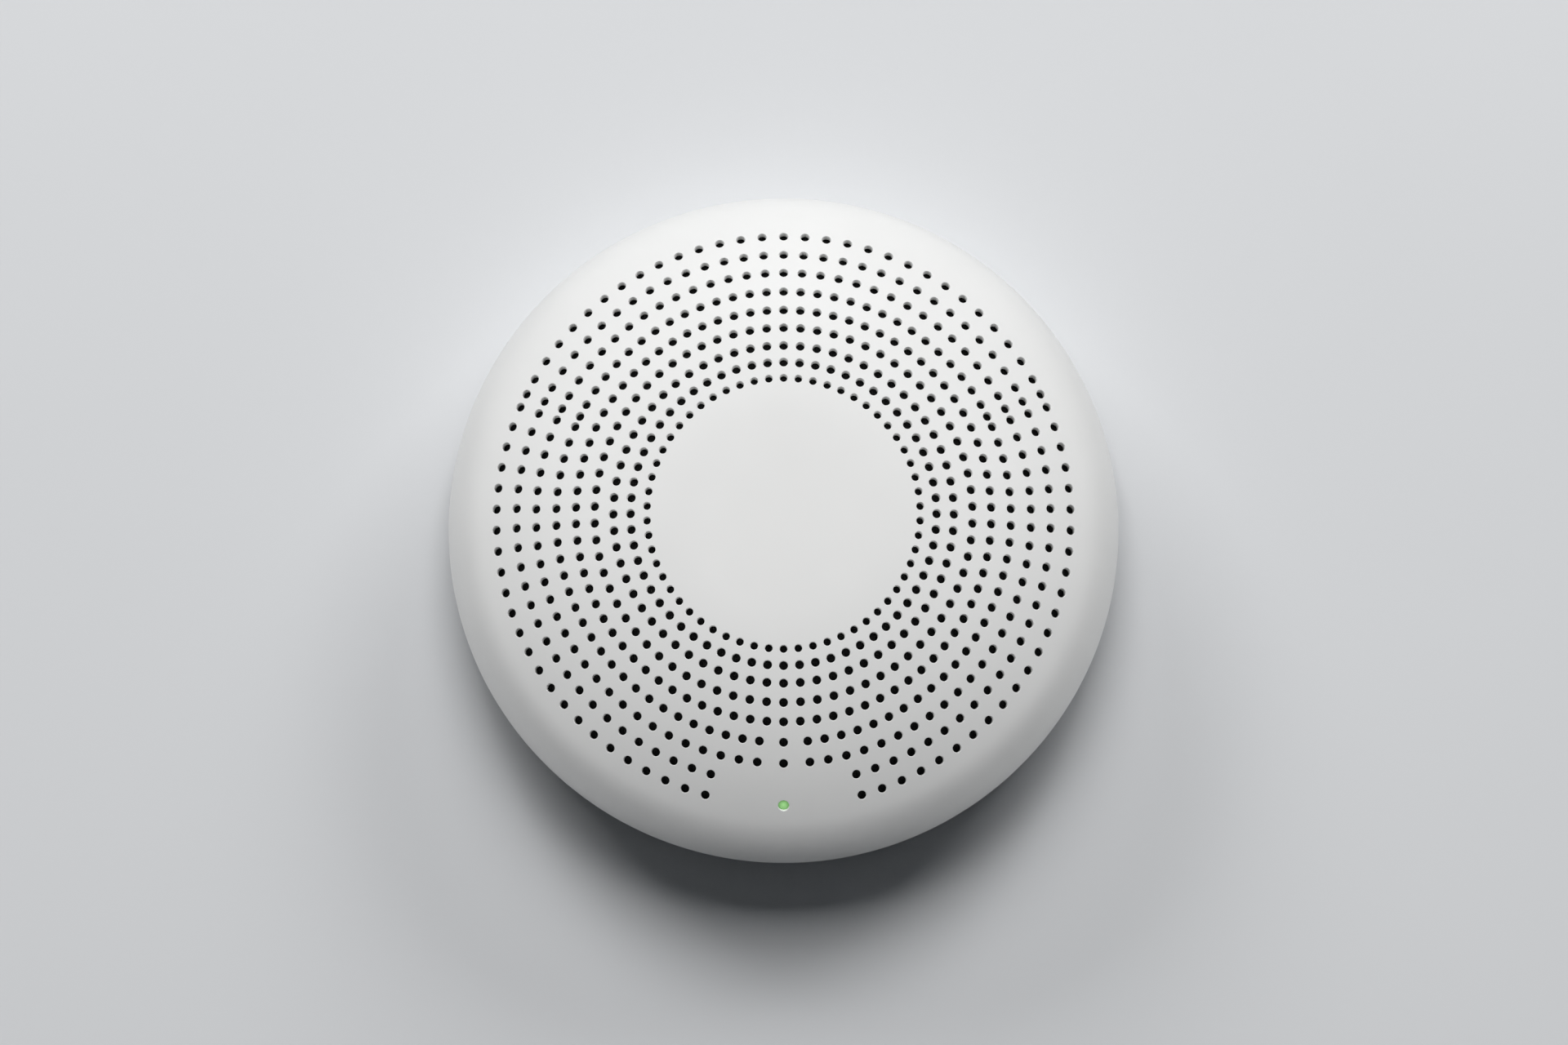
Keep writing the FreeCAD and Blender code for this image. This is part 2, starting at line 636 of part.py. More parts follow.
def chamber_base():
    floor = rod(CHAMBER_RADIUS, CHAMBER_FLOOR, CHAMBER_X, CHAMBER_Y, BOARD_TOP)
    vanes = []
    for number in range(VANE_COUNT):
        bearing = number * 360.0 / VANE_COUNT
        if near_lamp(bearing):
            continue
        height = CHAMBER_ROOM - SLIDE_FIT + CHAMBER_FLOOR / 2
        vane = block((VANE_LENGTH, VANE_THICKNESS, height), 0, 0, CHAMBER_INSIDE - CHAMBER_FLOOR / 2)
        vane.rotate(ORIGIN, AXIS, VANE_TURN)
        vane.translate(Vector(VANE_CIRCLE, 0, 0))
        vanes.append(toward_chamber(vane, bearing))
    bearings = (EMITTER_BEARING, RECEIVER_BEARING)
    base = floor.fuse(vanes + [lamp_holder(bearing) for bearing in bearings])
    return base.cut([lamp_hole(bearing, SLIDE_FIT) for bearing in bearings])


def chamber_cover():
    lid_bottom = CHAMBER_INSIDE + CHAMBER_ROOM
    lid = rod(CHAMBER_RADIUS, CHAMBER_LID, CHAMBER_X, CHAMBER_Y, lid_bottom)
    step = tube(CHAMBER_RADIUS - 2 * CHAMBER_MESH_THICKNESS, CHAMBER_RADIUS, lid_bottom - CHAMBER_LID,
                CHAMBER_LID, CHAMBER_X, CHAMBER_Y)
    return lid.fuse(step).removeSplitter()


def chamber_mesh():
    outside = CHAMBER_RADIUS - 2 * CHAMBER_MESH_THICKNESS - SLIDE_FIT
    return tube(outside - CHAMBER_MESH_THICKNESS, outside, CHAMBER_INSIDE, CHAMBER_ROOM, CHAMBER_X, CHAMBER_Y)


def co_cell():
    can = rod(CELL_RADIUS, CELL_HEIGHT - CELL_SHOULDER, CELL_X, CELL_Y, BOARD_TOP)
    neck = rod(CELL_RADIUS - CELL_SHOULDER, CELL_HEIGHT, CELL_X, CELL_Y, BOARD_TOP)
    inlet_depth = CELL_SHOULDER / 2
    inlet = rod(CELL_INLET_RADIUS, inlet_depth, CELL_X, CELL_Y, BOARD_TOP + CELL_HEIGHT - inlet_depth)
    return can.fuse(neck).cut(inlet)


def cell_clip():
    """A split spring ring round the cell, with two feet on the board."""
    inside = CELL_RADIUS + SLIDE_FIT
    outside = inside + CLIP_WALL
    ring = rod(outside, CLIP_HEIGHT, CELL_X, CELL_Y, BOARD_TOP)
    feet = block((2 * (outside + CLIP_FOOT), CLIP_HEIGHT, CLIP_WALL), CELL_X, CELL_Y, BOARD_TOP)
    split = block((CLIP_FOOT, 2 * outside, CLIP_HEIGHT), CELL_X, CELL_Y + outside, BOARD_TOP)
    hollow = rod(inside, CLIP_HEIGHT, CELL_X, CELL_Y, BOARD_TOP)
    return ring.fuse(feet).cut([hollow, split])


def sounder_horn():
    """A cup over the disc, with a ledge under the disc's edge and a raised mouth."""
    outside = rod(SOUNDER_RADIUS, SOUNDER_HEIGHT, SOUNDER_X, SOUNDER_Y, BOARD_TOP)
    lip_radius = SOUNDER_MOUTH_RADIUS + SOUNDER_WALL
    lip = rod(lip_radius, SOUNDER_LIP_HEIGHT, SOUNDER_X, SOUNDER_Y, BOARD_TOP + SOUNDER_HEIGHT)
    disc_seat = BOARD_TOP + DISC_LIFT
    below = rod(DISC_RADIUS - DISC_LEDGE, DISC_LIFT, SOUNDER_X, SOUNDER_Y, BOARD_TOP)
    room = SOUNDER_HEIGHT - SOUNDER_WALL - DISC_LIFT
    above = rod(DISC_RADIUS + SLIDE_FIT, room, SOUNDER_X, SOUNDER_Y, disc_seat)
    mouth_height = SOUNDER_HEIGHT + SOUNDER_LIP_HEIGHT - DISC_LIFT
    mouth = rod(SOUNDER_MOUTH_RADIUS, mouth_height, SOUNDER_X, SOUNDER_Y, disc_seat)
    return outside.fuse(lip).cut([below, above, mouth])


def piezo_disc():
    return rod(DISC_RADIUS, DISC_THICKNESS, SOUNDER_X, SOUNDER_Y, BOARD_TOP + DISC_LIFT)


def test_switch():
    body = block((SWITCH_SIDE, SWITCH_SIDE, SWITCH_HEIGHT), 0, 0, BOARD_TOP)
    depth = BUTTON_SINK + BUTTON_TRAVEL + SLIDE_FIT
    return body.cut(rod(BUTTON_RADIUS + SLIDE_FIT, depth, 0, 0, SWITCH_TOP - depth))


def switch_button():
    button = rod(BUTTON_RADIUS, BUTTON_SINK + BUTTON_RISE, 0, 0, SWITCH_TOP - BUTTON_SINK)
    top_edges = [edge for edge in button.Edges if edge.BoundBox.ZMin > BUTTON_TOP - SLIDE_FIT]
    return button.makeFillet(SLIDE_FIT, top_edges)


def status_led():
    end = at_light(rod(GUIDE_STEM_DIAMETER / 2, SLIDE_FIT, 0, 0, -GUIDE_LENGTH)).BoundBox
    body = block(STATUS_LED_SIZE, 0, end.Center.y, BOARD_TOP)
    return body.makeChamfer(SLIDE_FIT, [edge for edge in body.Edges if edge.BoundBox.ZMin > BOARD_TOP])


def processor():
    """A flat chip with a row of bent pins on each side."""
    package = block((PROCESSOR_SIDE, PROCESSOR_SIDE, PROCESSOR_HEIGHT), 0, 0, BOARD_TOP)
    pitch = PROCESSOR_SIDE / (PROCESSOR_PINS + 1)
    pins = []
    for number in range(PROCESSOR_PINS):
        place = (number + 1) * pitch - PROCESSOR_SIDE / 2
        for side in (-1, 1):
            middle = side * PROCESSOR_SIDE / 2
            pins.append(block((2 * PIN_REACH, PIN_WIDTH, PIN_THICKNESS), middle, place, BOARD_TOP))
            pins.append(block((PIN_WIDTH, 2 * PIN_REACH, PIN_THICKNESS), place, middle, BOARD_TOP))
    chip = package.fuse(pins)
    chip.translate(Vector(PROCESSOR_X, PROCESSOR_Y, 0))
    return chip


def radio_module():
    can = block(RADIO_SIZE, RADIO_X, RADIO_Y, BOARD_TOP)
    upper_edges = [edge for edge in can.Edges if edge.BoundBox.ZMax > BOARD_TOP + RADIO_EDGE]
    return can.makeFillet(RADIO_EDGE, upper_edges)


def capacitor():
    body = rod(CAPACITOR_RADIUS, CAPACITOR_HEIGHT, CAPACITOR_X, CAPACITOR_Y, BOARD_TOP)
    groove = tube(CAPACITOR_RADIUS - CAPACITOR_GROOVE, CAPACITOR_RADIUS, BOARD_TOP + CAPACITOR_GROOVE * 4,
                  CAPACITOR_GROOVE * 2, CAPACITOR_X, CAPACITOR_Y)
    return body.cut(groove)


def battery_connector():
    shell = block(PLUG_SIZE, PLUG_X, PLUG_Y, BOARD_TOP)
    hollow_size = (PLUG_SIZE[0] - 2 * PLUG_WALL, PLUG_SIZE[1] - 2 * PLUG_WALL, PLUG_SIZE[2] - PLUG_WALL)
    return shell.cut(block(hollow_size, PLUG_X, PLUG_Y, BOARD_TOP + PLUG_WALL))


os.makedirs("parts", exist_ok=True)
save("front_cover", front_cover())
save("light_guide", light_guide())
save("cover_screen", cover_screen())
save("screen_frame", screen_frame())
save("rear_housing", rear_housing())
save("mounting_plate", mounting_plate())
save("circuit_board", circuit_board())
save("board_screws", board_screws())
save("battery", battery())
save("battery_contacts", battery_contacts())
save("battery_strap", battery_strap())
save("battery_connector", battery_connector())
save("chamber_base", chamber_base())
save("chamber_cover", chamber_cover())
save("chamber_mesh", chamber_mesh())
save("emitter_lamp", lamp(EMITTER_BEARING))
save("photodiode", lamp(RECEIVER_BEARING))
save("co_cell", co_cell())
save("cell_clip", cell_clip())
save("sounder_horn", sounder_horn())
save("piezo_disc", piezo_disc())
save("test_switch", test_switch())
save("switch_button", switch_button())
save("status_led", status_led())
save("processor", processor())
save("radio_module", radio_module())
save("capacitor", capacitor())
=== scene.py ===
# %% [markdown]
# # A smoke and carbon monoxide alarm
# The alarm is a shallow white dome. Nine rings of small holes let air in round a smooth
# middle, and one green light shows at the bottom. The solid model already holds every piece
# at its real size, so this lesson starts from it, gives each piece its finish, and remakes
# only the cover, whose holes deserve round walls and softened edges.

# %% Load the solid model
import json
import math

import bpy
from mathutils import Matrix, Vector
from mathutils.bvhtree import BVHTree

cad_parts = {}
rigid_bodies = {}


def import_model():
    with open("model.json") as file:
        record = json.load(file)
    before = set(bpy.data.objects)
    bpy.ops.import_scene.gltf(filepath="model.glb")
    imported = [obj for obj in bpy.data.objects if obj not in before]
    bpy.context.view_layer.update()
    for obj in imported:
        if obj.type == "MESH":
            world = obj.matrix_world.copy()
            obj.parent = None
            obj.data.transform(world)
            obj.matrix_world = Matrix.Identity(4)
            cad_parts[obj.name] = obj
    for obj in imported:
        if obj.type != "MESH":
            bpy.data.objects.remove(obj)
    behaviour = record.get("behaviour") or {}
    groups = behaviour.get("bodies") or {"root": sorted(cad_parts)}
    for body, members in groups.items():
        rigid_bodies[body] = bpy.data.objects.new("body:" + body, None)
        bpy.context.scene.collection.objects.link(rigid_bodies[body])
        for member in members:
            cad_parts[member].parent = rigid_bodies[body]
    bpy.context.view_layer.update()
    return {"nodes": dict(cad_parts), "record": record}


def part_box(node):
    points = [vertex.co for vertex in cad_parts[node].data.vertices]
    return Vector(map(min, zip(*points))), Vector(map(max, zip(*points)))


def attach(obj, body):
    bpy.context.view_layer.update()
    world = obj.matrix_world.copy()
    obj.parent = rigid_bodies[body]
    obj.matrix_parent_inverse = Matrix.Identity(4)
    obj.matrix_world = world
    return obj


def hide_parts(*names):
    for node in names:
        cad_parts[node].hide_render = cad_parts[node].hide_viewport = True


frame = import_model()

record = frame["record"]
nodes = frame["nodes"]

# %% [markdown]
# ## Sizes
# Blender works in metres, and such a product is drawn in millimetres, so one factor turns
# one into the other. The cover's outside is three arcs that meet without a kink: a nearly
# flat crown, a dome and a tight rim. Each is named by its radius and by the distance from
# the axis at which it ends, as on the maker's drawing.

# %% Sizes of the cover
MM = 0.001
ALARM_RADIUS = 70.0
ALARM_DEPTH = 38.0
COVER_WALL = 2.0
CROWN_RADIUS = 400.0
CROWN_EDGE = 20.0
DOME_RADIUS = 87.0
SHOULDER = 63.0
SKIRT_BOTTOM = 5.6
SKIRT_TUCK = 0.6
POST_TOP = 4.0
POST_TIP = 2.5
POST_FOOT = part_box("switch_button")[1][2] / MM + 0.3

crown_angle = math.asin(CROWN_EDGE / CROWN_RADIUS)
dome_centre_r = CROWN_EDGE - DOME_RADIUS * math.sin(crown_angle)
crown_centre_z = ALARM_DEPTH - CROWN_RADIUS
dome_centre_z = crown_centre_z + (CROWN_RADIUS - DOME_RADIUS) * math.cos(crown_angle)
shoulder_angle = math.asin((SHOULDER - dome_centre_r) / DOME_RADIUS)
rim_radius = (ALARM_RADIUS - SHOULDER) / (1 - math.sin(shoulder_angle))
rim_centre_r = ALARM_RADIUS - rim_radius
rim_centre_z = dome_centre_z + (DOME_RADIUS - rim_radius) * math.cos(shoulder_angle)
print("rim radius", round(rim_radius, 2), "mm, widest at", round(rim_centre_z, 2), "mm")

# %% Sizes of the holes
EVEN_RINGS = ((28.4, 58), (31.8, 60), (35.4, 64), (39.3, 70), (43.2, 78))
FAN_RINGS = ((47.3, 25, 173.9), (51.5, 25, 173.9), (55.6, 23, 164.2), (59.8, 23, 164.2))
INNER_HOLE_DIAMETER = 1.6
HOLE_DIAMETER = 1.85
LIGHT_HOLE_DIAMETER = 2.3
UPPER_FAN_STEPS = 14
UPPER_FAN_END = 60.2
SEAM_HOLE = 63.6
LOWER_FAN_START = 66.5
FULL_TURN = 360.0
HALF_TURN = FULL_TURN / 2


def dome_slope(radius):
    return math.asin((radius - dome_centre_r) / DOME_RADIUS)


def dome_height(radius):
    return dome_centre_z + DOME_RADIUS * math.cos(dome_slope(radius))


print("the last ring lies", round(dome_height(FAN_RINGS[-1][0]), 2), "mm from the wall")

# %% [markdown]
# ## Selecting and applying
# Operators act on whatever is selected, and the loaded nodes come in selected. One helper
# therefore clears the selection before anything is made, and another applies a modifier to
# one object only.

# %% Helpers for objects
def only(piece):
    """Selects one object and nothing else."""
    for other in bpy.context.view_layer.objects:
        other.select_set(False)
    piece.select_set(True)
    bpy.context.view_layer.objects.active = piece
    return piece


def clear_selection():
    for other in bpy.context.view_layer.objects:
        other.select_set(False)
    bpy.context.view_layer.objects.active = None


def apply_modifier(piece, modifier):
    only(piece)
    bpy.ops.object.modifier_apply(modifier=modifier.name)


clear_selection()

# %% [markdown]
# ## Patterns as sums
# A finish is a few patterns added and multiplied together. Wiring each sum by hand hides
# what it does, so a small class wraps a node's output and lets Python's own operators add
# the maths nodes. One more method adds any other node.

# %% A wire through a material's nodes
class Wire:
    """A value or colour on its way through a material."""

    def __init__(self, tree, socket):
        self.tree = tree
        self.socket = socket

    def into(self, target):
        self.tree.links.new(self.socket, target)

    def sum(self, operation, first, second=None):
        settings = {"operation": operation}
        return add_node(self.tree, "ShaderNodeMath", settings, {0: first, 1: second})

    def __add__(self, other):
        return self.sum("ADD", self, other)

    def __sub__(self, other):
        return self.sum("SUBTRACT", self, other)

    def __rsub__(self, other):
        return self.sum("SUBTRACT", other, self)

    def __mul__(self, other):
        return self.sum("MULTIPLY", self, other)

    def __gt__(self, other):
        return self.sum("GREATER_THAN", self, other)

    def __lt__(self, other):
        return self.sum("LESS_THAN", self, other)

    def larger(self, other):
        return self.sum("MAXIMUM", self, other)

    def abs(self):
        return self.sum("ABSOLUTE", self)

    def sine(self):
        return self.sum("SINE", self)

    def fraction(self):
        return self.sum("FRACT", self)

    __radd__ = __add__
    __rmul__ = __mul__


def add_node(tree, kind, settings=None, inputs=None, output=0):
    """Adds one node: its settings first, then the values or wires of its sockets."""
    node = tree.nodes.new(kind)
    for name, value in (settings or {}).items():
        setattr(node, name, value)
    for name, value in (inputs or {}).items():
        if isinstance(value, Wire):
            value.into(node.inputs[name])
        elif value is not None:
            node.inputs[name].default_value = value
    return Wire(tree, node.outputs[output])


# %% [markdown]
# ## The start of every finish
# Every material here has one principled shader. Patterns read Object coordinates, which
# are metres on the finished piece, so a grain of a tenth of a millimetre is written as
# such. A bump node turns a pattern's height into a tilt of the surface.

# %% Helpers for materials
def new_finish(name, colour, roughness, metallic=0.0, specular=0.5):
    material = bpy.data.materials.new(name)
    material.use_nodes = True
    tree = material.node_tree
    shader = tree.nodes["Principled BSDF"]
    shader.inputs["Base Color"].default_value = (*colour, 1.0)
    shader.inputs["Roughness"].default_value = roughness
    shader.inputs["Metallic"].default_value = metallic
    shader.inputs["Specular IOR Level"].default_value = specular
    return material, tree, shader


def object_place(tree):
    return add_node(tree, "ShaderNodeTexCoord", output=3)


def part_of(tree, place):
    """The X, Y and Z wires of a place."""
    split = tree.nodes.new("ShaderNodeSeparateXYZ")
    place.into(split.inputs[0])
    return [Wire(tree, output) for output in split.outputs]


def noise(tree, place, size, detail=2.0, stretch=(1, 1, 1)):
    """Smooth random values from 0 to 1 in spots of about the given size, in metres."""
    turned = add_node(tree, "ShaderNodeMapping", None, {"Vector": place, "Scale": stretch})
    return add_node(tree, "ShaderNodeTexNoise", None,
                    {"Vector": turned, "Scale": 1 / size, "Detail": detail, "Roughness": 0.55})


def blend_colours(tree, amount, low, high):
    mix = tree.nodes.new("ShaderNodeMix")
    mix.data_type = "RGBA"
    amount.into(mix.inputs[0])
    mix.inputs[6].default_value = (*low, 1.0)
    mix.inputs[7].default_value = (*high, 1.0)
    return Wire(tree, mix.outputs[2])


def paint(tree, shader, amount, low, high):
    """Lets the base colour run from low to high as the amount grows."""
    blend_colours(tree, amount, low, high).into(shader.inputs["Base Color"])


def bump(tree, shader, height, depth):
    """Tilts the surface by a pattern whose full height is the given depth in metres."""
    sockets = {"Height": height, "Distance": depth, "Strength": 1.0}
    add_node(tree, "ShaderNodeBump", None, sockets).into(shader.inputs["Normal"])


def shade_of(colour, factor):
    return tuple(min(1.0, value * factor) for value in colour)


# %% [markdown]
# ## Moulded plastic
# The cover is moulded in white plastic against a steel tool that was etched to a very fine
# grain. Close up it has a soft orange-peel and a sparkle-free matt sheen. Two sizes of
# noise give the grain, and a third, much larger, makes the shade drift a little.

# %% Moulded plastic
def moulded_plastic(name, colour, roughness=0.5, grain=0.00016, grain_depth=0.000006, drift=0.03):
    material, tree, shader = new_finish(name, colour, roughness)
    place = object_place(tree)
    cloud = noise(tree, place, 0.02)
    fine = noise(tree, place, grain)
    peel = noise(tree, place, grain * 6)
    paint(tree, shader, cloud, shade_of(colour, 1 - drift), shade_of(colour, 1 + drift))
    (roughness - 0.06 + fine * 0.08 + peel * 0.04).into(shader.inputs["Roughness"])
    bump(tree, shader, fine * 0.6 + peel * 0.4, grain_depth)
    return material


# %% [markdown]
# ## Metal
# Rolled and drawn metal carries fine lines along the way it was worked. Noise that is
# squeezed along two axes and long along the third gives such lines, and they vary the
# roughness more than the colour.

# %% Worked metal
def worked_metal(name, colour, roughness=0.32, stretch=(1, 1, 0.04), line=0.00012):
    material, tree, shader = new_finish(name, colour, roughness, metallic=1.0)
    place = object_place(tree)
    lines = noise(tree, place, line, 3.0, stretch)
    cloud = noise(tree, place, 0.006)
    paint(tree, shader, cloud, shade_of(colour, 0.9), shade_of(colour, 1.06))
    (roughness - 0.1 + lines * 0.2).into(shader.inputs["Roughness"])
    bump(tree, shader, lines, 0.000004)
    return material


# %% [markdown]
# ## Woven mesh
# The insect screen behind the holes is a black woven mesh, and the smoke chamber has a
# steel one. Two waves, one along X and one along Y, each bright in the middle of a thread,
# give the weave. Their larger value is the thread on top. Its colour falls to a quarter at
# the threads' edges and where one thread dips under another: that is painted shade. The
# same wave also gives the roughness and the bump.

# %% Woven mesh
def woven_mesh(name, colour, pitch, metallic=0.0):
    material, tree, shader = new_finish(name, colour, 0.6, metallic, 0.2)
    along_x, along_y, along_z = part_of(tree, object_place(tree))
    threads_x = (along_x * (2 * math.pi / pitch)).sine().abs()
    threads_y = ((along_y + along_z) * (2 * math.pi / pitch)).sine().abs()
    top = threads_x.larger(threads_y)
    # Painted shade: darker at the edges of the threads and between them.
    paint(tree, shader, top, shade_of(colour, 0.25), colour)
    (0.85 - top * 0.3).into(shader.inputs["Roughness"])
    bump(tree, shader, top, pitch * 0.4)
    return material


# %% [markdown]
# ## Circuit board
# Solder resist is a thin green lacquer over copper tracks, which show as paler raised
# lines. The tracks run square to each other, so a wave on each axis is cut down to a thin
# line, and a coarse noise decides where the tracks run along X and where along Y.

# %% Circuit board
def circuit_board_finish(name, colour, pitch=0.0022, track=0.22):
    material, tree, shader = new_finish(name, colour, 0.35)
    place = object_place(tree)
    along_x, along_y = part_of(tree, place)[:2]
    lines_x = (along_y * (1 / pitch)).fraction() < track
    lines_y = (along_x * (1 / pitch)).fraction() < track
    area = noise(tree, place, 0.014, 0.0) > 0.5
    tracks = lines_x * area + lines_y * (1 - area)
    cloud = noise(tree, place, 0.004)
    paint(tree, shader, tracks * 0.75 + cloud * 0.25, colour, shade_of(colour, 1.9))
    (0.3 + cloud * 0.1).into(shader.inputs["Roughness"])
    bump(tree, shader, tracks, 0.00003)
    return material


# %% [markdown]
# ## Smooth sleeves and lenses
# Shrink sleeves, lamp bodies and the light guide are glossy, and a faint ripple breaks their
# reflections. The light guide carries its lamp's green light to the front. The lamp sits in
# the middle of the rod's end, so the glow is strongest there and fades towards the edge.
# That brighter middle is also a painted highlight: a spot of light painted into the glow.
# The distance from the middle of the rod's tip gives that fall.

# %% Glossy plastic
def glossy_plastic(name, colour, roughness=0.2, ripple=0.000004, glow=None):
    material, tree, shader = new_finish(name, colour, roughness)
    place = object_place(tree)
    waves = noise(tree, place, 0.0012)
    paint(tree, shader, waves, shade_of(colour, 0.94), shade_of(colour, 1.06))
    (roughness - 0.03 + waves * 0.06).into(shader.inputs["Roughness"])
    bump(tree, shader, waves, ripple)
    if glow:
        shader.inputs["Emission Color"].default_value = (*glow, 1.0)
        shader.inputs["Emission Strength"].default_value = 1.0
    return material


# %% The glowing lens and its painted highlight
LENS_RECESS = 0.3
LENS_EDGE = 1.15
light_radius = FAN_RINGS[-1][0]
light_slope = dome_slope(light_radius)
light_normal = Vector((0, -math.sin(light_slope), math.cos(light_slope)))
light_place = Vector((0, -light_radius, dome_height(light_radius)))
lens_middle = (light_place - light_normal * LENS_RECESS) * MM
print("middle of the lens", [round(value / MM, 2) for value in lens_middle], "mm")


def lens_glow_and_highlight(name, colour, edge_glow, middle_glow_and_highlight):
    material = glossy_plastic(name, colour, 0.22, glow=edge_glow)
    tree = material.node_tree
    away = add_node(tree, "ShaderNodeVectorMath", {"operation": "DISTANCE"},
                    {0: object_place(tree), 1: lens_middle}, 1)
    # Brighter towards the middle of the tip: the lamp's glow, plus a painted highlight there.
    glow_and_highlight_fall = 1 - away * (1 / (LENS_EDGE * MM))
    glow = blend_colours(tree, glow_and_highlight_fall.larger(0.0), edge_glow, middle_glow_and_highlight)
    glow.into(tree.nodes["Principled BSDF"].inputs["Emission Color"])
    return material


# %% [markdown]
# ## A finish for every piece
# The solid model names a material slot for each piece, and pieces made of the same stuff
# share one, as the two steel cans do. The loaded pieces keep their shape and only get a
# better material in their slot.

# %% Every finish by its slot
WHITE = (0.83, 0.83, 0.82)
finishes = {
    "cover": moulded_plastic("cover_white", WHITE, 0.52),
    # The lens's brighter middle colour is the lamp's glow plus a painted highlight.
    "lens": lens_glow_and_highlight("lens_green", (0.17, 0.42, 0.13), (0.11, 0.23, 0.08), (0.24, 0.45, 0.18)),
    "mesh": woven_mesh("screen_black", (0.02, 0.02, 0.02), 0.0006),
    "screen_frame": moulded_plastic("frame_black", (0.03, 0.03, 0.03), 0.6),
    "housing": moulded_plastic("housing_white", (0.78, 0.78, 0.77), 0.55),
    "plate": moulded_plastic("plate_white", (0.76, 0.76, 0.75), 0.58,
                             grain=0.0003, grain_depth=0.00001),
    "board": circuit_board_finish("board_green", (0.012, 0.11, 0.04)),
    "screws": worked_metal("screw_zinc", (0.62, 0.62, 0.6), 0.3, (1, 1, 1), 0.0003),
    "battery": glossy_plastic("battery_sleeve", (0.05, 0.07, 0.09), 0.25),
    "contacts": worked_metal("contact_nickel", (0.66, 0.62, 0.55), 0.25),
    "strap": worked_metal("spring_steel", (0.5, 0.5, 0.51), 0.35, (1, 0.05, 1)),
    "connector": moulded_plastic("plug_nylon", (0.78, 0.74, 0.62), 0.45),
    "chamber": moulded_plastic("chamber_black", (0.02, 0.02, 0.02), 0.7),
    "chamber_mesh": woven_mesh("chamber_steel", (0.45, 0.45, 0.44), 0.0008, 1.0),
    "clear_lamp": glossy_plastic("lamp_clear", (0.7, 0.74, 0.8), 0.08),
    "dark_lamp": glossy_plastic("lamp_dark", (0.02, 0.015, 0.03), 0.08),
    "can": worked_metal("drawn_can", (0.6, 0.6, 0.59), 0.3, (1, 1, 0.03)),
    "horn": moulded_plastic("horn_black", (0.025, 0.025, 0.025), 0.5),
    "disc": worked_metal("disc_brass", (0.72, 0.52, 0.22), 0.3, (1, 0.05, 1)),
    "switch": moulded_plastic("switch_black", (0.03, 0.03, 0.03), 0.45),
    "button": moulded_plastic("button_grey", (0.6, 0.6, 0.58), 0.5),
    "led": glossy_plastic("led_top", (0.4, 0.62, 0.3), 0.2, glow=(0.05, 0.14, 0.03)),
    "chip": moulded_plastic("chip_epoxy", (0.03, 0.03, 0.032), 0.65, grain=0.0001),
    "sleeve": glossy_plastic("capacitor_sleeve", (0.02, 0.03, 0.08), 0.25),
}
for part in record["subparts"]:
    nodes[part["node"]].material_slots[0].material = finishes[part["material_slot"]]
print(len(finishes), "finishes on", len(record["subparts"]), "nodes")

# %% [markdown]
# ## The cover's wall
# A dome like this is turned: half of its section is drawn once and spun about the axis.
# The section is a chain of points, extruded one from the next along the three arcs, round
# the skirt's edge, back along the inside, and down the post that presses the test switch.
# The arcs are cut fine enough that the shoulder stays round in a close view.

# %% Points of the cover's section
CROWN_STEPS = 10
DOME_STEPS = 42
RIM_STEPS = 18
TURN_STEPS = 216
INSIDE_FINENESS = 0.6
MERGE_DISTANCE = MM * 0.001


def arc_points(centre_r, centre_z, radius, start, end, steps):
    points = []
    for number in range(steps + 1):
        angle = start + (end - start) * number / steps
        points.append((centre_r + radius * math.sin(angle), centre_z + radius * math.cos(angle)))
    return points


def surface_points(depth, start=0.0, fineness=1.0):
    """The section from the crown to the widest line, at a depth below the outer face."""
    crown = arc_points(0, crown_centre_z, CROWN_RADIUS - depth, start, crown_angle,
                       round(CROWN_STEPS * fineness))
    dome = arc_points(dome_centre_r, dome_centre_z, DOME_RADIUS - depth, crown_angle,
                      shoulder_angle, round(DOME_STEPS * fineness))
    rim = arc_points(rim_centre_r, rim_centre_z, rim_radius - depth, shoulder_angle,
                     math.pi / 2, round(RIM_STEPS * fineness))
    return crown + dome[1:] + rim[1:]


def cover_section():
    outside = surface_points(0)
    post_angle = math.asin(POST_TOP / (CROWN_RADIUS - COVER_WALL))
    inside = surface_points(COVER_WALL, post_angle, INSIDE_FINENESS)
    edge = ALARM_RADIUS - SKIRT_TUCK
    skirt = [(edge, SKIRT_BOTTOM), (edge - COVER_WALL, SKIRT_BOTTOM)]
    post = [(POST_TIP, POST_FOOT), (0, POST_FOOT)]
    return outside + skirt + inside[::-1] + post


